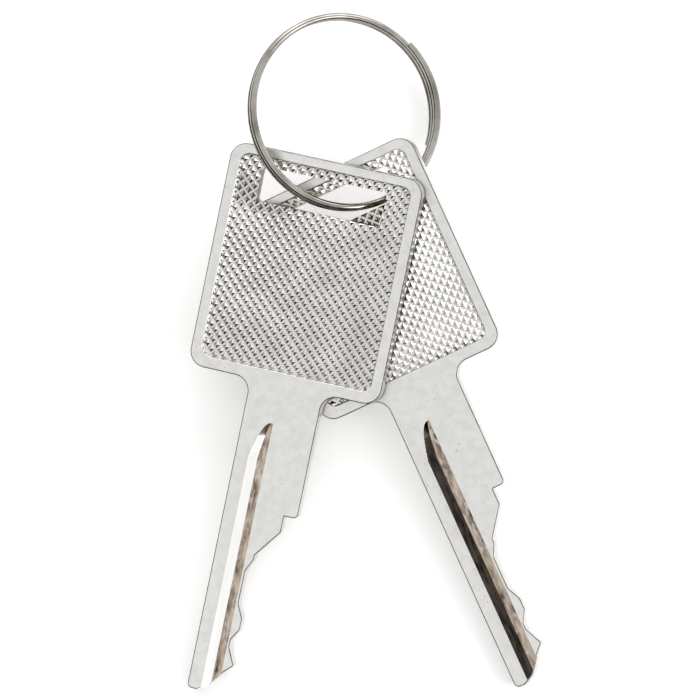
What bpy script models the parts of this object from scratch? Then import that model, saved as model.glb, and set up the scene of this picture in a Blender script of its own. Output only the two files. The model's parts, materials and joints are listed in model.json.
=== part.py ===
"""Two flat cylinder-lock keys threaded on a split ring, lying on a flat surface.

Metres, +Z up, standing on z = 0 under the middle of the whole object. The
blades point towards -Y. Both keys lie in one sloping plane, because the coils
of the ring run through their slots: the back key is below, the front key on
it. The ring slopes the other way, high on the left and low on the right, and
both keys and the ring turn about the ring's own axis.
"""

import math

import bmesh
import bpy
from mathutils import Matrix, Vector

MM = 0.001

# The key's head: a wide plate with a slot near its top edge.
KEY_THICKNESS = 2.0 * MM
HEAD_WIDTH = 23.9 * MM
HEAD_HEIGHT = 27.5 * MM
HEAD_CORNER = 2.0 * MM
HEAD_SKEW = 0.05 * MM
SLOT_WIDTH = 15.5 * MM
SLOT_HEIGHT = 4.25 * MM
SLOT_CORNER = 0.6 * MM
SLOT_BELOW_TOP = 2.3 * MM

# The sunk panel inside the head's raised rim, on both faces.
RIM_SIDE = 1.3 * MM
RIM_TOP = 1.1 * MM
RIM_BOTTOM = 1.4 * MM
PANEL_CORNER = 1.2 * MM
PANEL_DEPTH = 0.22 * MM

# The blade, with its back edge on -X and its cuts on +X.
BLADE_LENGTH = 38.2 * MM
BLADE_BACK = 4.0 * MM
BLADE_CUT_SIDE = 5.1 * MM
SHOULDER_FILLET = 1.9 * MM
BLADE_END_RADIUS = 0.6 * MM
BLADE_END_WIDTH = 1.2 * MM

# The blade's milled groove: a sloping wall towards the back edge, a flat floor.
GROOVE_LEFT = -2.3 * MM
GROOVE_RIGHT = -0.14 * MM
GROOVE_DEPTH = 0.55 * MM
GROOVE_SLOPE = 1.05 * MM
GROOVE_START = 4.75 * MM
GROOVE_RUN_IN = 4.4 * MM
GROOVE_POINT = 0.12 * MM
GROOVE_STATIONS = 7
CUTTER_OVERRUN = 1.0 * MM

# The split ring: a round wire wound a little more than twice.
RING_MEAN_RADIUS = 11.56 * MM
WIRE_RADIUS = 0.44 * MM
RING_PITCH = 0.90 * MM
RING_TURNS = 2.18
RING_TOP_END = math.radians(46.7)
RING_POINTS_A_TURN = 40
WIRE_ROUNDING = 2
WIRE_END_ANGLE = math.radians(50.0)

# How the pieces lie: slopes of the keys' plane and of the ring.
RING_CENTRE = Vector((-1.642, 28.541, 6.98)) * MM
RING_SLOPE = math.radians(27.5)
RING_LEAN = math.radians(-1.5)
KEYS_SLOPE = math.radians(3.0)
KEYS_PITCH = math.radians(6.3)
KEYS_RISE = 0.55 * MM
KEY_GAP = 0.3 * MM
BACK_KEY_PLACE = (2.65 * MM, -20.0 * MM)
BACK_KEY_TURN = math.radians(23.6)
FRONT_KEY_PLACE = (-4.4 * MM, -19.38 * MM)
FRONT_KEY_TURN = math.radians(-13.3)

ARC_STEPS = 5
AXIS_MARK = 10.0 * MM
WELD = 0.000001
FLAT = math.radians(0.05)

# Colour and roughness of the worn nickel plate on each piece.
BACK_NICKEL = ((0.78, 0.76, 0.72), 0.28)
FRONT_NICKEL = ((0.80, 0.78, 0.74), 0.25)
RING_NICKEL = ((0.70, 0.68, 0.64), 0.16)

# The cut side of the blade, from its shoulder to its tip: how far each corner
# lies from the slot's centreline, how far below the head, and its radius.
CUTS = (
    (5.10, 15.35, 0.6),
    (3.45, 15.35, 0.1),
    (3.45, 17.35, 0.3),
    (0.90, 20.75, 0.2),
    (0.90, 21.25, 0.2),
    (0.15, 22.90, 0.6),
    (0.15, 26.90, 0.6),
    (0.95, 28.55, 0.5),
    (0.95, 30.00, 0.5),
    (0.10, 31.40, 0.5),
    (0.10, 32.25, 0.4),
    (1.10, 34.40, 0.3),
    (-0.26, 35.75, 0.8),
    (-1.60, 37.50, 1.2),
)


def empty_the_scene():
    for item in list(bpy.data.objects):
        bpy.data.objects.remove(item, do_unlink=True)


def make_collection(name):
    collection = bpy.data.collections.new(name)
    bpy.context.scene.collection.children.link(collection)
    return collection


def metal(name, colour, roughness):
    material = bpy.data.materials.new(name)
    material.use_nodes = True
    shader = material.node_tree.nodes["Principled BSDF"]
    shader.inputs["Base Color"].default_value = (*colour, 1.0)
    shader.inputs["Metallic"].default_value = 1.0
    shader.inputs["Roughness"].default_value = roughness
    return material


def rounded_outline(corners):
    """Points of a closed outline whose corners (x, y, radius) become arcs."""
    points = []
    for index, (x, y, radius) in enumerate(corners):
        corner = Vector((x, y))
        before = Vector(corners[index - 1][:2]) - corner
        after = Vector(corners[(index + 1) % len(corners)][:2]) - corner
        before.normalize()
        after.normalize()
        half_angle = before.angle(after) / 2.0
        centre = corner + (before + after).normalized() * radius / math.sin(half_angle)
        start = corner + before * radius / math.tan(half_angle) - centre
        sweep = start.angle_signed(corner + after * radius / math.tan(half_angle) - centre)
        for step in range(ARC_STEPS + 1):
            turn = Matrix.Rotation(-sweep * step / ARC_STEPS, 2)
            points.append(centre + turn @ start)
    return points


def rectangle(left, right, bottom, top, radius):
    """Corners of an upright rectangle, anticlockwise, all with one radius."""
    return (
        (left, bottom, radius),
        (right, bottom, radius),
        (right, top, radius),
        (left, top, radius),
    )


def key_corners():
    """The key's outer corners, anticlockwise, with y = 0 under the head.

    The head reaches a hair lower on the cut side, by HEAD_SKEW, so that its two
    lower edges aren't in one line across the blade.
    """
    side = HEAD_WIDTH / 2.0
    corners = [
        (side, -HEAD_SKEW, HEAD_CORNER),
        (side, HEAD_HEIGHT, HEAD_CORNER),
        (-side, HEAD_HEIGHT, HEAD_CORNER),
        (-side, 0.0, HEAD_CORNER),
        (-BLADE_BACK, 0.0, SHOULDER_FILLET),
        (-BLADE_BACK, -BLADE_LENGTH, BLADE_END_RADIUS),
        (-BLADE_BACK + BLADE_END_WIDTH, -BLADE_LENGTH, BLADE_END_RADIUS),
    ]
    for across, below, radius in reversed(CUTS):
        corners.append((across * MM, -below * MM, radius * MM))
    corners.append((BLADE_CUT_SIDE, -HEAD_SKEW, SHOULDER_FILLET))
    return corners


def slot_corners():
    top = HEAD_HEIGHT - SLOT_BELOW_TOP
    side = SLOT_WIDTH / 2.0
    return rectangle(-side, side, top - SLOT_HEIGHT, top, SLOT_CORNER)


def plate(name, corners, thickness, collection):
    """A flat plate with a rounded outline, centred on z = 0."""
    curve = bpy.data.curves.new(name, "CURVE")
    curve.dimensions = "2D"
    curve.fill_mode = "BOTH"
    curve.extrude = thickness / 2.0
    points = rounded_outline(corners)
    spline = curve.splines.new("POLY")
    spline.points.add(len(points) - 1)
    for place, point in zip(spline.points, points):
        place.co = (point.x, point.y, 0.0, 1.0)
    spline.use_cyclic_u = True
    return mesh_from_curve(name, curve, collection)


def mesh_from_curve(name, curve, collection):
    """The curve as a closed mesh object, its loose caps welded on."""
    guide = bpy.data.objects.new(name + "_guide", curve)
    collection.objects.link(guide)
    bpy.context.view_layer.update()
    evaluated = guide.evaluated_get(bpy.context.evaluated_depsgraph_get())
    mesh = bpy.data.meshes.new_from_object(evaluated)
    mesh.name = name
    solid = bmesh.new()
    solid.from_mesh(mesh)
    bmesh.ops.remove_doubles(solid, verts=solid.verts, dist=WELD)
    if curve.dimensions == "2D":
        bmesh.ops.dissolve_limit(solid, angle_limit=FLAT, verts=solid.verts, edges=solid.edges)
    bmesh.ops.recalc_face_normals(solid, faces=solid.faces)
    solid.to_mesh(mesh)
    solid.free()
    made = bpy.data.objects.new(name, mesh)
    made.matrix_world = guide.matrix_world
    collection.objects.link(made)
    bpy.data.objects.remove(guide, do_unlink=True)
    return made


def mark_as_cutter(cutter):
    cutter.hide_render = True
    cutter.display_type = "WIRE"


def slot_cutter(name, collection):
    cutter = plate(name, slot_corners(), 2.0 * KEY_THICKNESS, collection)
    mark_as_cutter(cutter)
    return cutter


def panel_cutter(name, face, collection):
    """Sinks the panel inside the rim on the face that points to +Z or -Z."""
    side = HEAD_WIDTH / 2.0 - RIM_SIDE
    outline = rectangle(-side, side, RIM_BOTTOM, HEAD_HEIGHT - RIM_TOP, PANEL_CORNER)
    cutter = plate(name, outline, 2.0 * PANEL_DEPTH, collection)
    cutter.location.z = face * KEY_THICKNESS / 2.0
    mark_as_cutter(cutter)
    return cutter


def groove_cutter(name, face, collection):
    """A long wedge that mills the blade's groove, pointed where it starts."""
    solid = bmesh.new()
    surface = KEY_THICKNESS / 2.0
    above = surface + CUTTER_OVERRUN
    floor = surface - GROOVE_DEPTH
    end = -BLADE_LENGTH - CUTTER_OVERRUN
    full_width = GROOVE_RIGHT - GROOVE_LEFT
    rings = []
    for station in range(GROOVE_STATIONS + 1):
        along = min(station / (GROOVE_STATIONS - 1), 1.0)
        y = -GROOVE_START - GROOVE_RUN_IN * along * along
        if station == GROOVE_STATIONS:
            y = end
        width = GROOVE_POINT + (full_width - GROOVE_POINT) * along
        left = GROOVE_RIGHT - width
        slope = GROOVE_SLOPE * width / full_width
        rise = slope * CUTTER_OVERRUN / GROOVE_DEPTH
        section = (
            (GROOVE_RIGHT, floor),
            (GROOVE_RIGHT, above),
            (left - rise, above),
            (left + slope, floor),
        )
        rings.append([solid.verts.new((x, y, z)) for x, z in section])
    for ring, following in zip(rings, rings[1:]):
        for corner in range(len(ring)):
            beside = (corner + 1) % len(ring)
            solid.faces.new((ring[corner], ring[beside], following[beside], following[corner]))
    solid.faces.new(rings[0])
    solid.faces.new(rings[-1])
    if face < 0:
        turn = Matrix.Diagonal((1.0, 1.0, -1.0))
        bmesh.ops.transform(solid, matrix=turn.to_4x4(), verts=solid.verts)
    bmesh.ops.recalc_face_normals(solid, faces=solid.faces)
    mesh = bpy.data.meshes.new(name)
    solid.to_mesh(mesh)
    solid.free()
    cutter = bpy.data.objects.new(name, mesh)
    collection.objects.link(cutter)
    mark_as_cutter(cutter)
    return cutter


def cut_away(target, cutter):
    cut = target.modifiers.new(cutter.name, "BOOLEAN")
    cut.operation = "DIFFERENCE"
    cut.solver = "EXACT"
    cut.object = cutter


def keys_plane():
    """The turn that slopes the keys' plane: up to +X and a little up to +Y."""
    return Matrix.Rotation(-KEYS_SLOPE, 4, "Y") @ Matrix.Rotation(KEYS_PITCH, 4, "X")


def key_matrix(place, turn, layer):
    """Where a key lies: its head's centre over place, layer 0 below layer 1."""
    tilt = keys_plane()
    normal = (tilt @ Vector((0.0, 0.0, 1.0, 0.0))).xyz
    rise = KEYS_RISE + layer * (KEY_THICKNESS + KEY_GAP) / normal.z
    height = rise - (normal.x * place[0] + normal.y * place[1]) / normal.z
    centre = RING_CENTRE + Vector((place[0], place[1], height))
    to_centre = Matrix.Translation((0.0, -HEAD_HEIGHT / 2.0, 0.0))
    return Matrix.Translation(centre) @ tilt @ Matrix.Rotation(turn, 4, "Z") @ to_centre


def make_key(name, matrix, material, parts, cutters):
    key = plate(name, key_corners(), KEY_THICKNESS, parts)
    key.data.materials.append(material)
    shapers = [
        slot_cutter(name + "_slot", cutters),
        panel_cutter(name + "_panel_above", 1, cutters),
        panel_cutter(name + "_panel_below", -1, cutters),
        groove_cutter(name + "_groove_above", 1, cutters),
        groove_cutter(name + "_groove_below", -1, cutters),
    ]
    for shaper in shapers:
        shaper.matrix_world = matrix @ Matrix.Translation(shaper.location)
        cut_away(key, shaper)
    key.matrix_world = matrix
    return key


def ring_matrix():
    """The ring's axis: the wire's plane is high on the left, low on the right."""
    tilt = Matrix.Rotation(RING_SLOPE, 4, "Y") @ Matrix.Rotation(RING_LEAN, 4, "X")
    return Matrix.Translation(RING_CENTRE) @ tilt


def make_ring(name, material, parts):
    """A helix of round wire that winds clockwise and down from its top end."""
    curve = bpy.data.curves.new(name, "CURVE")
    curve.dimensions = "3D"
    curve.bevel_depth = WIRE_RADIUS
    curve.bevel_resolution = WIRE_ROUNDING
    curve.use_fill_caps = True
    steps = round(RING_TURNS * RING_POINTS_A_TURN)
    spline = curve.splines.new("POLY")
    spline.points.add(steps)
    for step, place in enumerate(spline.points):
        wound = RING_TURNS * step / steps
        angle = RING_TOP_END - 2.0 * math.pi * wound
        height = RING_PITCH * (RING_TURNS / 2.0 - wound)
        x = RING_MEAN_RADIUS * math.cos(angle)
        y = RING_MEAN_RADIUS * math.sin(angle)
        place.co = (x, y, height, 1.0)
    ring = mesh_from_curve(name, curve, parts)
    ring.data.materials.append(material)
    ring.data.shade_smooth()
    ring.data.set_sharp_from_angle(angle=WIRE_END_ANGLE)
    return ring


def joint_empty(name, matrix, parts):
    empty = bpy.data.objects.new(name, None)
    empty.empty_display_size = AXIS_MARK
    empty.matrix_world = matrix
    parts.objects.link(empty)
    return empty


def parent_in_place(piece, parent):
    piece.parent = parent
    piece.matrix_parent_inverse = parent.matrix_world.inverted()


def main():
    empty_the_scene()
    parts = make_collection("keys_on_ring")
    cutters = make_collection("cutters")
    back_plate = metal("back_key_nickel", *BACK_NICKEL)
    front_plate = metal("front_key_nickel", *FRONT_NICKEL)
    ring_plate = metal("ring_nickel", *RING_NICKEL)

    back_place = key_matrix(BACK_KEY_PLACE, BACK_KEY_TURN, 0)
    make_key("back_key", back_place, back_plate, parts, cutters)
    front_place = key_matrix(FRONT_KEY_PLACE, FRONT_KEY_TURN, 1)
    front = make_key("front_key", front_place, front_plate, parts, cutters)

    ring_place = ring_matrix()
    axis = joint_empty("ring_axis", ring_place, parts)
    ring = make_ring("split_ring", ring_plate, parts)
    ring.matrix_world = ring_place
    bpy.context.view_layer.update()
    parent_in_place(front, axis)
    parent_in_place(ring, axis)


main()
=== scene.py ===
"""Looks for two flat keys on a split ring: detailed meshes, metals, light and camera."""
import json
import math
import random

import bmesh
import bpy
from mathutils import Matrix, Vector


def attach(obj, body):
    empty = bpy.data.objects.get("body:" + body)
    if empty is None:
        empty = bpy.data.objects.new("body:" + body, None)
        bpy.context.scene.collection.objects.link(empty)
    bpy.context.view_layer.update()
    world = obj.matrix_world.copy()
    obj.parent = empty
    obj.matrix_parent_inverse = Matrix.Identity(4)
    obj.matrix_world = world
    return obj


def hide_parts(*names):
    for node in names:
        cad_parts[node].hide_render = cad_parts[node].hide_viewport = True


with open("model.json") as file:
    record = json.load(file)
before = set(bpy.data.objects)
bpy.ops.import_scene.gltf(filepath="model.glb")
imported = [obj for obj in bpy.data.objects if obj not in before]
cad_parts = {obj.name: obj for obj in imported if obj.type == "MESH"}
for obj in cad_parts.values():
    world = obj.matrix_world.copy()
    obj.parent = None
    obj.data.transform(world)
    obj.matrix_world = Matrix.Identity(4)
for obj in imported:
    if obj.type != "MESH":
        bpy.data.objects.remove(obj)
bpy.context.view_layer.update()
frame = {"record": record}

MM = 0.001

# The key in millimetres, in its own frame: y = 0 under the head, cuts on +X.
THICKNESS = 2.0
HALF = THICKNESS / 2.0
HEAD_WIDTH = 23.9
HEAD_HEIGHT = 27.5
HEAD_CORNER = 2.0
SLOT_WIDTH = 15.5
SLOT_HEIGHT = 4.25
SLOT_CORNER = 0.6
SLOT_BELOW_TOP = 2.3
RIM_SIDE = 1.3
RIM_TOP = 1.1
RIM_BOTTOM = 1.4
PANEL_CORNER = 1.2
PANEL_DEPTH = 0.32
PANEL_SLOPE = 0.14
PANEL_LIP = 0.06
PANEL_LIP_SLOPE = 0.03
PANEL_LIP_ROUND = 0.05
BLADE_LENGTH = 38.2
BLADE_BACK = 4.0
BLADE_CUT_SIDE = 5.1
SHOULDER_FILLET = 1.9
BLADE_END_RADIUS = 0.6
BLADE_END_WIDTH = 1.2
EDGE_ROUND = 0.18
EDGE_STEPS = 3
ARC_STEPS = 9
CUTS = (
    (5.10, 15.35, 0.6),
    (3.45, 15.35, 0.1),
    (3.45, 17.35, 0.3),
    (0.90, 20.75, 0.2),
    (0.90, 21.25, 0.2),
    (0.15, 22.90, 0.6),
    (0.15, 26.90, 0.6),
    (0.95, 28.55, 0.5),
    (0.95, 30.00, 0.5),
    (0.10, 31.40, 0.5),
    (0.10, 32.25, 0.4),
    (1.10, 34.40, 0.3),
    (-0.26, 35.75, 0.8),
    (-1.60, 37.50, 1.2),
)

# The groove milled in the blade.
GROOVE_LEFT = -2.3
GROOVE_RIGHT = -0.14
GROOVE_DEPTH = 0.55
GROOVE_SLOPE = 1.05
GROOVE_START = 4.75
GROOVE_RUN_IN = 4.4
GROOVE_POINT = 0.30
GROOVE_STATIONS = 15
GROOVE_CHAMFER = 0.03
GROOVE_CHAMFER_HEIGHT = 0.10
OVERRUN = 1.0

# The knurl: square pyramids in a lattice turned by 45 degrees.
KNURL_PITCH = 1.19
KNURL_CELL = KNURL_PITCH / math.sqrt(2.0)
KNURL_VALLEY = 0.16
KNURL_TOP = 0.10
KNURL_HEIGHT = 0.24
KNURL_UNEVEN = 0.006
KNURL_ROOT = 0.30
KNURL_TURN = math.radians(45.0)
KNURL_OVER = 0.4
KNURL_SEED = 7

# The key's finishes and its painted light and shade (the groove wall painted as a highlight on the
# front key and as shade on the back key, the edges painted dark as shade, the slot walls tarnish
# darkened with painted shade), and how a face's place and slope tell which it has.
PLATE, KNURL, GROOVE_WALL_PAINTED_LIGHT, GROOVE_FLOOR, EDGE_PAINTED_SHADE, SLOT_WALL_TARNISH_AND_SHADE = range(6)
BARELY = 0.01
CLOSE = 0.02
NEAR = 0.1
SLOT_REACH = 2.3
UPRIGHT = 0.05
STEEP = 0.6
GROOVE_SLOPING = 0.2
GROOVE_FLAT = 0.95
# Faces sloping between these two get the edge's painted shade.
EDGE_LOWEST = 0.1
EDGE_HIGHEST = 0.85

# How the keys lie, as the frame's solids do.
KEYS_SLOPE = math.radians(3.0)
KEYS_PITCH = math.radians(6.3)
KEYS_RISE = 0.55
KEY_GAP = 0.3
BACK_KEY_PLACE = (2.65, -20.0)
BACK_KEY_TURN = math.radians(23.6)
FRONT_KEY_PLACE = (-4.4, -19.38)
FRONT_KEY_TURN = math.radians(-13.3)

# The ring's wire, in millimetres.
RING_RADIUS = 11.56
WIRE_RADIUS = 0.44
RING_PITCH = 0.90
RING_TURNS = 2.18
RING_TOP_END = math.radians(46.7)
RING_LEAN = math.radians(-1.5)
RING_SLOPE = math.radians(27.5)
RING_POINTS_A_TURN = 120
WIRE_SIDES = 24
WIRE_END_ROUND = 0.10

# Edges at a greater angle than these stay crisp in the shading.
KEY_CREASE = math.radians(38.0)
WIRE_CREASE = math.radians(40.0)

# The camera, in metres, above the keys, a little to their right and below them.
CAMERA_LEAN = math.radians(9.0)
CAMERA_PITCH = math.radians(4.0)
CAMERA_DISTANCE = 0.60
CAMERA_WIDTH = 0.084
CAMERA_AIM = (0.72 * MM, -28.56 * MM)
SENSOR = 36.0

# The metals' fine grain, specks and wear: scales per metre, and where each one starts.
EVEN = ((1.0, 1.0, 1.0), 0.0)
GRAIN_SCALE = 9000.0
GRAIN_DEPTH = 0.02 * MM
SPECK_SCALE = 2600.0
WEAR_SCALE = 900.0
GLOSS_FINER = 2.3
PATCH_RANGE = (0.32, 0.62)
SPECK_RANGE = (0.70, 0.76)
WEAR_RANGE = (0.50, 0.66)
GLOSS_DETAIL = 3.0
SPECK_DETAIL = 2.0
PATCH_DETAIL = 4.0
WEAR_DETAIL = 5.0
BLACK = (0.0, 0.0, 0.0)
WHITE = (1.0, 1.0, 1.0)

# The studio's light table: its size, its place in metres, its white and its glow.
FLOOR_SIZE = 2.0
FLOOR_LOW = 0.0001
FLOOR_WHITE = (0.97, 0.97, 0.97, 1.0)
FLOOR_ROUGHNESS = 0.9
FLOOR_GLOW = 0.25

# The studio's ceiling: where its middle is, and its greys from the walls (low) to there.
SKY_MIDDLE = (0.25, 0.35, 0.90)
SKY_STRENGTH = 1.12
SKY = (
    (0.12, (0.02, 0.02, 0.02)),
    (0.40, (0.30, 0.295, 0.29)),
    (0.58, (1.35, 1.35, 1.34)),
    (0.76, (0.83, 0.83, 0.825)),
    (0.95, (0.80, 0.80, 0.795)),
)

# The lights: direction, size in metres and power in watts, all at one distance.
LIGHT_DISTANCE = 0.5
LIGHTS = (
    ("far_right", (0.24, 0.88, 0.42), (0.6, 0.25), 1.1),
    ("right", (0.84, -0.22, 0.50), (0.25, 0.25), 0.6),
)

RING_JOINT = frame["record"]["behaviour"]["joints"][0]
RING_CENTRE = Vector(RING_JOINT["pos_m"])


# ---------------------------------------------------------------- outlines

def outline(corners):
    """Points and outward normals of an anticlockwise outline with round corners."""
    places = []
    for index, (x, y, radius) in enumerate(corners):
        corner = Vector((x, y))
        before = (Vector(corners[index - 1][:2]) - corner).normalized()
        after = (Vector(corners[(index + 1) % len(corners)][:2]) - corner).normalized()
        convex = 1.0 if before.y * after.x - before.x * after.y > 0.0 else -1.0
        half_angle = before.angle(after) / 2.0
        centre = corner + (before + after).normalized() * radius / math.sin(half_angle)
        reach = radius / math.tan(half_angle)
        start = corner + before * reach - centre
        sweep = start.angle_signed(corner + after * reach - centre)
        for step in range(ARC_STEPS + 1):
            arm = Matrix.Rotation(-sweep * step / ARC_STEPS, 2) @ start
            places.append((centre + arm, arm.normalized() * convex))
    return places


def rectangle(left, right, bottom, top, radius):
    return (
        (left, bottom, radius),
        (right, bottom, radius),
        (right, top, radius),
        (left, top, radius),
    )


def key_corners():
    side = HEAD_WIDTH / 2.0
    corners = [
        (side, 0.0, HEAD_CORNER),
        (side, HEAD_HEIGHT, HEAD_CORNER),
        (-side, HEAD_HEIGHT, HEAD_CORNER),
        (-side, 0.0, HEAD_CORNER),
        (-BLADE_BACK, 0.0, SHOULDER_FILLET),
        (-BLADE_BACK, -BLADE_LENGTH, BLADE_END_RADIUS),
        (-BLADE_BACK + BLADE_END_WIDTH, -BLADE_LENGTH, BLADE_END_RADIUS),
    ]
    for across, below, radius in reversed(CUTS):
        corners.append((across, -below, radius))
    corners.append((BLADE_CUT_SIDE, 0.0, SHOULDER_FILLET))
    return corners


def slot_corners():
    top = HEAD_HEIGHT - SLOT_BELOW_TOP
    side = SLOT_WIDTH / 2.0
    return rectangle(-side, side, top - SLOT_HEIGHT, top, SLOT_CORNER)


def panel_corners():
    side = HEAD_WIDTH / 2.0 - RIM_SIDE
    return rectangle(-side, side, RIM_BOTTOM, HEAD_HEIGHT - RIM_TOP, PANEL_CORNER)


# ---------------------------------------------------------------- solids

def to_object(name, solid):
    """A mesh object from a bmesh, with its faces turned outwards."""
    bmesh.ops.recalc_face_normals(solid, faces=solid.faces)
    mesh = bpy.data.meshes.new(name)
    solid.to_mesh(mesh)
    solid.free()
    made = bpy.data.objects.new(name, mesh)
    bpy.context.scene.collection.objects.link(made)
    return made


def loft(name, rings):
    """A closed solid through rings of points, each ring with as many points."""
    solid = bmesh.new()
    rows = [[solid.verts.new(point) for point in ring] for ring in rings]
    for row, following in zip(rows, rows[1:]):
        for here in range(len(row)):
            beside = (here + 1) % len(row)
            solid.faces.new((row[here], row[beside], following[beside], following[here]))
    solid.faces.new(rows[0])
    solid.faces.new(rows[-1])
    return to_object(name, solid)


def stack(name, corners, levels):
    """A loft of one outline at several heights, each with its own outset."""
    places = outline(corners)
    rings = []
    for height, outset in levels:
        ring = [point + normal * outset for point, normal in places]
        rings.append([(point.x, point.y, height) for point in ring])
    return loft(name, rings)


def rounded_levels():
    """Heights and outsets of a plate's wall whose two edges are rounded."""
    upper = []
    for step in range(EDGE_STEPS + 1):
        angle = math.pi / 2.0 * step / EDGE_STEPS
        height = HALF - EDGE_ROUND * (1.0 - math.sin(angle))
        upper.append((height, -EDGE_ROUND * (1.0 - math.cos(angle))))
    lower = [(-height, outset) for height, outset in reversed(upper)]
    return lower + upper


def combine(target, tool, operation):
    """Applies an exact Boolean to the target's mesh and removes the tool."""
    modifier = target.modifiers.new("cut", "BOOLEAN")
    modifier.operation = operation
    modifier.solver = "EXACT"
    modifier.object = tool
    bpy.context.view_layer.update()
    evaluated = target.evaluated_get(bpy.context.evaluated_depsgraph_get())
    mesh = bpy.data.meshes.new_from_object(evaluated)
    target.modifiers.clear()
    target.data = mesh
    bpy.data.objects.remove(tool, do_unlink=True)


def turned_over(thing):
    """Turns a solid over to the key's lower face."""
    for vertex in thing.data.vertices:
        vertex.co.z = -vertex.co.z
    thing.data.flip_normals()
    return thing


def panel_cutter():
    floor = HALF - PANEL_DEPTH
    levels = (
        (floor, -PANEL_SLOPE),
        (HALF - PANEL_LIP, -PANEL_LIP_SLOPE),
        (HALF, PANEL_LIP_ROUND),
        (HALF + OVERRUN, PANEL_LIP_ROUND),
    )
    return stack("panel", panel_corners(), levels)


def slot_cutter():
    levels = [
        (-HALF - OVERRUN, EDGE_ROUND),
        (-HALF, EDGE_ROUND),
        (-HALF + EDGE_ROUND, 0.0),
        (HALF - EDGE_ROUND, 0.0),
        (HALF, EDGE_ROUND),
        (HALF + OVERRUN, EDGE_ROUND),
    ]
    return stack("slot", slot_corners(), levels)


def groove_cutter():
    """The milling cutter's path: one sloping wall, and a pointed start."""
    above = HALF + OVERRUN
    floor = HALF - GROOVE_DEPTH
    full_width = GROOVE_RIGHT - GROOVE_LEFT
    rings = []
    for station in range(GROOVE_STATIONS + 1):
        along = min(station / (GROOVE_STATIONS - 1), 1.0)
        y = -GROOVE_START - GROOVE_RUN_IN * along * along
        if station == GROOVE_STATIONS:
            y = -BLADE_LENGTH - OVERRUN
        width = GROOVE_POINT + (full_width - GROOVE_POINT) * along
        left = GROOVE_RIGHT - width
        slope = GROOVE_SLOPE * width / full_width
        rise = slope * OVERRUN / GROOVE_DEPTH
        section = (
            (GROOVE_RIGHT - GROOVE_CHAMFER * width, floor),
            (GROOVE_RIGHT, floor + GROOVE_CHAMFER_HEIGHT),
            (GROOVE_RIGHT, above),
            (left - rise, above),
            (left + slope, floor),
        )
        rings.append([(x, y, z) for x, z in section])
    return loft("groove", rings)


def knurl_block():
    """Pyramids over the whole panel, on a slab that sinks into the head."""
    chance = random.Random(KNURL_SEED)
    solid = bmesh.new()
    side = HEAD_WIDTH / 2.0
    reach = int(2.0 * HEAD_HEIGHT / KNURL_CELL)
    middle = Vector((0.0, HEAD_HEIGHT / 2.0))
    turn = Matrix.Rotation(KNURL_TURN, 2)
    floor = HALF - PANEL_DEPTH
    half_base = (KNURL_CELL - KNURL_VALLEY) / 2.0
    half_top = KNURL_TOP / 2.0
    signs = ((-1, -1), (1, -1), (1, 1), (-1, 1))
    bases = {}
    for row in range(-reach, reach + 1):
        for column in range(-reach, reach + 1):
            centre = Vector((column + 0.5, row + 0.5)) * KNURL_CELL
            place = middle + turn @ centre
            if abs(place.x) > side:
                continue
            if not -KNURL_OVER < place.y < HEAD_HEIGHT + KNURL_OVER:
                continue
            height = floor + KNURL_HEIGHT + chance.uniform(-KNURL_UNEVEN, KNURL_UNEVEN)
            shift = Vector((chance.uniform(-1, 1), chance.uniform(-1, 1))) * KNURL_UNEVEN
            base = []
            top = []
            for across, along in signs:
                foot = middle + turn @ (centre + Vector((across, along)) * half_base)
                peak = middle + turn @ (centre + shift + Vector((across, along)) * half_top)
                base.append(solid.verts.new((foot.x, foot.y, floor)))
                top.append(solid.verts.new((peak.x, peak.y, height)))
            for here in range(len(signs)):
                beside = (here + 1) % len(signs)
                solid.faces.new((base[here], base[beside], top[beside], top[here]))
            solid.faces.new(top)
            bases[column, row] = base
    for (column, row), base in bases.items():
        right = bases.get((column + 1, row))
        above = bases.get((column, row + 1))
        diagonal = bases.get((column + 1, row + 1))
        if right:
            solid.faces.new((base[1], right[0], right[3], base[2]))
        if above:
            solid.faces.new((base[3], base[2], above[1], above[0]))
        if right and above and diagonal:
            solid.faces.new((base[2], right[3], diagonal[0], above[1]))
    skirt = [edge for edge in solid.edges if edge.is_boundary]
    grown = bmesh.ops.extrude_edge_only(solid, edges=skirt)["geom"]
    for vertex in grown:
        if isinstance(vertex, bmesh.types.BMVert):
            vertex.co.z = floor - KNURL_ROOT
    rim = [edge for edge in solid.edges if edge.is_boundary]
    bmesh.ops.holes_fill(solid, edges=rim, sides=0)
    block = to_object("knurl", solid)
    levels = ((floor - 2.0 * KNURL_ROOT, 0.0), (HALF + OVERRUN, 0.0))
    combine(block, stack("panel_prism", panel_corners(), levels), "INTERSECT")
    return block


def key_mesh():
    """The key's whole mesh, in millimetres and in the key's own frame."""
    key = stack("key", key_corners(), rounded_levels())
    for lower in (False, True):
        cutters = [(groove_cutter(), "DIFFERENCE"), (panel_cutter(), "DIFFERENCE")]
        cutters.append((knurl_block(), "UNION"))
        for tool, operation in cutters:
            combine(key, turned_over(tool) if lower else tool, operation)
    combine(key, slot_cutter(), "DIFFERENCE")
    mesh = key.data
    bpy.data.objects.remove(key, do_unlink=True)
    return mesh


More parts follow.
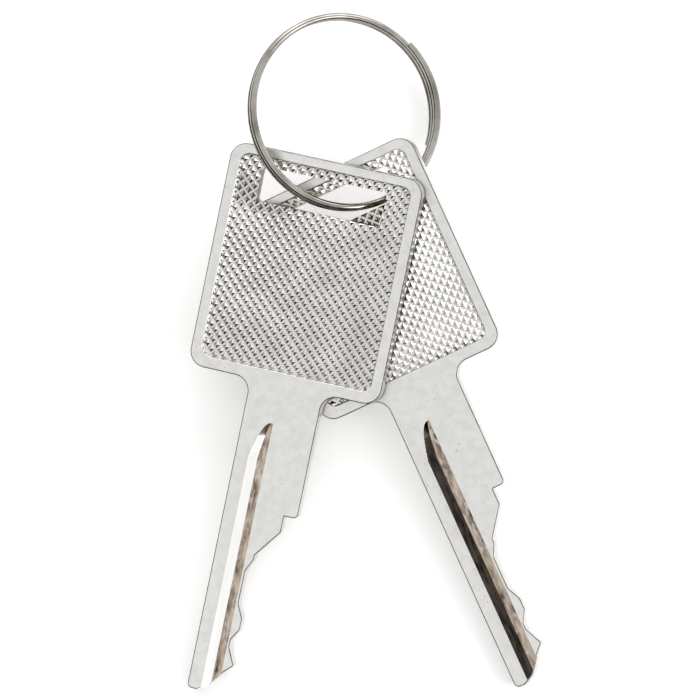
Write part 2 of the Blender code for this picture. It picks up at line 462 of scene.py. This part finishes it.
def surface_kind(face):
    """Which of key_metals' finishes, painted light and painted shade a face of the key gets."""
    x, y, z = face.center
    up = abs(face.normal.z)
    side = HEAD_WIDTH / 2.0 - RIM_SIDE + NEAR
    in_panel = abs(x) < side and RIM_BOTTOM - NEAR < y < HEAD_HEIGHT - RIM_TOP + NEAR
    sunk = abs(z) < HALF - BARELY
    if in_panel and sunk and up > UPRIGHT and abs(z) > HALF - PANEL_DEPTH - CLOSE:
        return KNURL
    slot_middle = HEAD_HEIGHT - SLOT_BELOW_TOP - SLOT_HEIGHT / 2.0
    beside_slot = abs(x) < SLOT_WIDTH / 2.0 + NEAR
    # Steep faces around the slot get the slot wall's darker brown: tarnish with painted shade.
    if beside_slot and abs(slot_middle - y) < SLOT_REACH and up < STEEP:
        return SLOT_WALL_TARNISH_AND_SHADE
    across_groove = GROOVE_LEFT - 2.0 * NEAR < x < GROOVE_RIGHT + CLOSE
    if across_groove and y < -GROOVE_START + NEAR and sunk:
        # Sloping groove faces take the groove wall's painted light.
        sloping = GROOVE_SLOPING < up < GROOVE_FLAT
        return GROOVE_WALL_PAINTED_LIGHT if sloping else GROOVE_FLOOR
    # Faces of middling slope along the rounded edges are painted near-black: a painted dark
    # outline of shade.
    if EDGE_LOWEST < up < EDGE_HIGHEST:
        return EDGE_PAINTED_SHADE
    return PLATE


# ---------------------------------------------------------------- materials

class Nodes:
    """A short way to add and link shader nodes."""

    def __init__(self, tree):
        self.tree = tree

    def add(self, kind, **values):
        node = self.tree.nodes.new(kind)
        for name, value in values.items():
            if name in node.inputs:
                node.inputs[name].default_value = value
            else:
                setattr(node, name, value)
        return node

    def link(self, source, output, target, socket):
        self.tree.links.new(source.outputs[output], target.inputs[socket])

    def noise(self, place, scale, detail, grain):
        """Noise drawn out along a direction: grain is its lengths and its turn about Z."""
        lengths, turn = grain
        mapping = self.add("ShaderNodeMapping", vector_type="TEXTURE")
        mapping.inputs["Scale"].default_value = lengths
        mapping.inputs["Rotation"].default_value = (0.0, 0.0, turn)
        self.link(place, "Object", mapping, "Vector")
        noise = self.add("ShaderNodeTexNoise")
        noise.inputs["Scale"].default_value = scale
        noise.inputs["Detail"].default_value = detail
        self.link(mapping, "Vector", noise, "Vector")
        return noise

    def ramp(self, source, output, stops):
        """A colour ramp with the given (position, colour) stops."""
        stops = list(stops)
        ramp = self.add("ShaderNodeValToRGB")
        elements = ramp.color_ramp.elements
        while len(elements) < len(stops):
            elements.new(0.5)
        for element, (place, colour) in zip(elements, stops):
            element.position = place
            element.color = (*colour, 1.0)
        self.link(source, output, ramp, "Fac")
        return ramp


def laid_over(nodes, under, mask, colour):
    """One colour laid over another output where the mask is white."""
    mixed = nodes.add("ShaderNodeMix", data_type="RGBA")
    nodes.link(mask, "Color", mixed, "Factor")
    nodes.tree.links.new(under, mixed.inputs["A"])
    mixed.inputs["B"].default_value = (*colour, 1.0)
    return mixed.outputs["Result"]


def metal(name, dark, light, rough, patch=420.0, bump=0.12, grain=EVEN, speck=None, worn=None):
    """Metal with uneven colour and gloss, fine grain, specks and worn patches."""
    material = bpy.data.materials.new(name)
    material.use_nodes = True
    nodes = Nodes(material.node_tree)
    shader = material.node_tree.nodes["Principled BSDF"]
    shader.inputs["Metallic"].default_value = 1.0
    place = nodes.add("ShaderNodeTexCoord")
    patches = nodes.noise(place, patch, PATCH_DETAIL, grain)
    colour = nodes.ramp(patches, "Fac", zip(PATCH_RANGE, (dark, light))).outputs["Color"]
    if speck:
        spots = nodes.noise(place, SPECK_SCALE, SPECK_DETAIL, EVEN)
        mask = nodes.ramp(spots, "Fac", zip(SPECK_RANGE, (BLACK, WHITE)))
        colour = laid_over(nodes, colour, mask, speck)
    if worn:
        wear = nodes.noise(place, WEAR_SCALE, WEAR_DETAIL, grain)
        mask = nodes.ramp(wear, "Fac", zip(WEAR_RANGE, (BLACK, WHITE)))
        colour = laid_over(nodes, colour, mask, worn)
    nodes.tree.links.new(colour, shader.inputs["Base Color"])
    gloss = nodes.noise(place, patch * GLOSS_FINER, GLOSS_DETAIL, grain)
    spread = nodes.add("ShaderNodeMapRange")
    spread.inputs["To Min"].default_value = rough[0]
    spread.inputs["To Max"].default_value = rough[1]
    nodes.link(gloss, "Fac", spread, "Value")
    nodes.link(spread, "Result", shader, "Roughness")
    fine = nodes.noise(place, GRAIN_SCALE, PATCH_DETAIL, grain)
    relief = nodes.add("ShaderNodeBump")
    relief.inputs["Strength"].default_value = bump
    relief.inputs["Distance"].default_value = GRAIN_DEPTH
    nodes.link(fine, "Fac", relief, "Height")
    nodes.link(relief, "Normal", shader, "Normal")
    return material


def key_metals(name, wall_painted_light, turn):
    """The six finishes of one key, in the order that surface_kind counts them; the groove wall
    carries the painted light passed in, the edge painted shade, the slot wall tarnish with painted
    shade.
    """
    return (
        metal(name + "_plate", (0.655, 0.65, 0.635), (0.725, 0.72, 0.705), (0.24, 0.36),
              patch=900.0, speck=(0.50, 0.47, 0.43)),
        metal(name + "_knurl", (0.60, 0.585, 0.565), (0.74, 0.725, 0.70), (0.10, 0.16),
              patch=220.0, bump=0.04),
        # The groove wall's colours are painted light: a painted highlight on one key, painted
        # shade on the other.
        metal(name + "_groove_wall_painted_light", *wall_painted_light, bump=0.05, grain=((0.17, 1.0, 0.17), turn)),
        metal(name + "_groove_floor", (0.09, 0.058, 0.04), (0.54, 0.44, 0.35), (0.28, 0.45),
              bump=0.25, grain=((0.33, 1.1, 0.33), turn), worn=(0.60, 0.54, 0.50)),
        # Near-black edge colour: painted shade for the dark outlines along the key's rounded
        # edges.
        metal(name + "_edge_painted_shade", (0.02, 0.017, 0.014), (0.17, 0.15, 0.13), (0.25, 0.45),
              patch=700.0, bump=0.2),
        # Dark brown slot wall: tarnish darkened further with painted shade.
        metal(name + "_slot_wall_tarnish_and_shade", (0.05, 0.035, 0.022), (0.34, 0.28, 0.20), (0.25, 0.4),
              patch=600.0, bump=0.15),
    )


# ---------------------------------------------------------------- pieces

def keys_plane():
    return Matrix.Rotation(-KEYS_SLOPE, 4, "Y") @ Matrix.Rotation(KEYS_PITCH, 4, "X")


def key_matrix(place, turn, layer):
    """The key's frame in the world, from where its head's centre lies."""
    tilt = keys_plane()
    normal = (tilt @ Vector((0.0, 0.0, 1.0, 0.0))).xyz
    rise = KEYS_RISE + layer * (THICKNESS + KEY_GAP) / normal.z
    height = rise - (normal.x * place[0] + normal.y * place[1]) / normal.z
    centre = RING_CENTRE + Vector((place[0], place[1], height)) * MM
    lower = Matrix.Translation((0.0, -HEAD_HEIGHT / 2.0 * MM, 0.0))
    return Matrix.Translation(centre) @ tilt @ Matrix.Rotation(turn, 4, "Z") @ lower


def place_key(mesh, node, matrix, finishes):
    key = bpy.data.objects.new(node + "_detailed", mesh.copy())
    bpy.context.scene.collection.objects.link(key)
    for finish in finishes:
        key.data.materials.append(finish)
    for face in key.data.polygons:
        face.material_index = surface_kind(face)
    key.data.transform(matrix @ Matrix.Scale(MM, 4))
    key.data.shade_smooth()
    key.data.set_sharp_from_angle(angle=KEY_CREASE)
    weighted = key.modifiers.new("flat_faces", "WEIGHTED_NORMAL")
    weighted.keep_sharp = True
    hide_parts(node)
    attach(key, node)
    return key


def ring_mesh():
    """Round wire wound in a helix, with both cut ends lightly rounded."""
    steps = round(RING_TURNS * RING_POINTS_A_TURN)
    rings = []
    stations = [(0.0, WIRE_RADIUS - WIRE_END_ROUND)]
    slip = WIRE_END_ROUND / (2.0 * math.pi * RING_RADIUS * RING_TURNS)
    stations.append((slip, WIRE_RADIUS))
    stations.extend((step / steps, WIRE_RADIUS) for step in range(1, steps))
    stations.append((1.0 - slip, WIRE_RADIUS))
    stations.append((1.0, WIRE_RADIUS - WIRE_END_ROUND))
    for along, radius in stations:
        wound = RING_TURNS * along
        angle = RING_TOP_END - 2.0 * math.pi * wound
        outwards = Vector((math.cos(angle), math.sin(angle), 0.0))
        middle = outwards * RING_RADIUS
        middle.z = RING_PITCH * (RING_TURNS / 2.0 - wound)
        ring = []
        for side in range(WIRE_SIDES):
            turn = 2.0 * math.pi * side / WIRE_SIDES
            lift = Vector((0.0, 0.0, math.sin(turn) * radius))
            ring.append(middle + outwards * math.cos(turn) * radius + lift)
        rings.append(ring)
    return loft("ring", rings)


def place_ring(finish):
    ring = ring_mesh()
    ring.name = "split_ring_detailed"
    ring.data.materials.append(finish)
    tilt = Matrix.Rotation(RING_SLOPE, 4, "Y") @ Matrix.Rotation(RING_LEAN, 4, "X")
    ring.data.transform(Matrix.Translation(RING_CENTRE) @ tilt @ Matrix.Scale(MM, 4))
    ring.data.shade_smooth()
    ring.data.set_sharp_from_angle(angle=WIRE_CREASE)
    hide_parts("split_ring")
    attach(ring, "split_ring")
    return ring


# ---------------------------------------------------------------- stage

def make_floor():
    bpy.ops.mesh.primitive_plane_add(size=FLOOR_SIZE, location=(0.0, 0.0, -FLOOR_LOW))
    floor = bpy.context.object
    floor.name = "floor"
    material = bpy.data.materials.new("floor")
    material.use_nodes = True
    shader = material.node_tree.nodes["Principled BSDF"]
    shader.inputs["Base Color"].default_value = FLOOR_WHITE
    shader.inputs["Roughness"].default_value = FLOOR_ROUGHNESS
    shader.inputs["Emission Color"].default_value = (*WHITE, 1.0)
    shader.inputs["Emission Strength"].default_value = FLOOR_GLOW
    floor.data.materials.append(material)


def make_light(name, direction, size, power):
    """A soft rectangular light that faces the middle of the object."""
    light = bpy.data.lights.new(name, "AREA")
    light.shape = "RECTANGLE"
    light.size = size[0]
    light.size_y = size[1]
    light.energy = power
    lamp = bpy.data.objects.new(name, light)
    towards = Vector(direction).normalized()
    lamp.location = towards * LIGHT_DISTANCE
    lamp.rotation_euler = towards.to_track_quat("Z", "Y").to_euler()
    bpy.context.scene.collection.objects.link(lamp)


def make_world():
    """Studio surroundings: a pale ceiling, darker towards the left and the front."""
    world = bpy.data.worlds.new("studio")
    bpy.context.scene.world = world
    world.use_nodes = True
    nodes = Nodes(world.node_tree)
    place = nodes.add("ShaderNodeTexCoord")
    towards = nodes.add("ShaderNodeVectorMath", operation="DOT_PRODUCT")
    nodes.link(place, "Generated", towards, 0)
    towards.inputs[1].default_value = SKY_MIDDLE
    sky = nodes.ramp(towards, "Value", SKY)
    background = world.node_tree.nodes["Background"]
    nodes.link(sky, "Color", background, "Color")
    background.inputs["Strength"].default_value = SKY_STRENGTH


def make_camera():
    data = bpy.data.cameras.new("camera")
    data.sensor_width = SENSOR
    data.lens = SENSOR * CAMERA_DISTANCE / CAMERA_WIDTH
    camera = bpy.data.objects.new("camera", data)
    lean = Matrix.Rotation(CAMERA_LEAN, 4, "Y") @ Matrix.Rotation(CAMERA_PITCH, 4, "X")
    aim = RING_CENTRE + lean.to_3x3() @ Vector((*CAMERA_AIM, 0.0))
    away = lean.to_3x3() @ Vector((0.0, 0.0, CAMERA_DISTANCE))
    camera.matrix_world = Matrix.Translation(aim + away) @ lean
    bpy.context.scene.collection.objects.link(camera)
    bpy.context.scene.camera = camera


def main():
    make_camera()
    make_floor()
    make_world()
    for light in LIGHTS:
        make_light(*light)
    bpy.context.scene.view_settings.view_transform = "Standard"

    mesh = key_mesh()
    # The same groove wall is painted near-white on the front key as a painted highlight and
    # near-black on the back key as painted shade.
    front_wall_painted_highlight = ((0.95, 0.945, 0.93), (0.99, 0.985, 0.97), (0.20, 0.30))
    back_wall_painted_shade = ((0.008, 0.007, 0.006), (0.07, 0.058, 0.048), (0.2, 0.35))
    back_matrix = key_matrix(BACK_KEY_PLACE, BACK_KEY_TURN, 0)
    front_matrix = key_matrix(FRONT_KEY_PLACE, FRONT_KEY_TURN, 1)
    place_key(mesh, "back_key", back_matrix, key_metals("back_key", back_wall_painted_shade, BACK_KEY_TURN))
    place_key(mesh, "front_key", front_matrix, key_metals("front_key", front_wall_painted_highlight, FRONT_KEY_TURN))
    place_ring(metal("ring_wire", (0.24, 0.225, 0.20), (0.45, 0.43, 0.40), (0.02, 0.05),
                     patch=260.0, bump=0.02))


main()
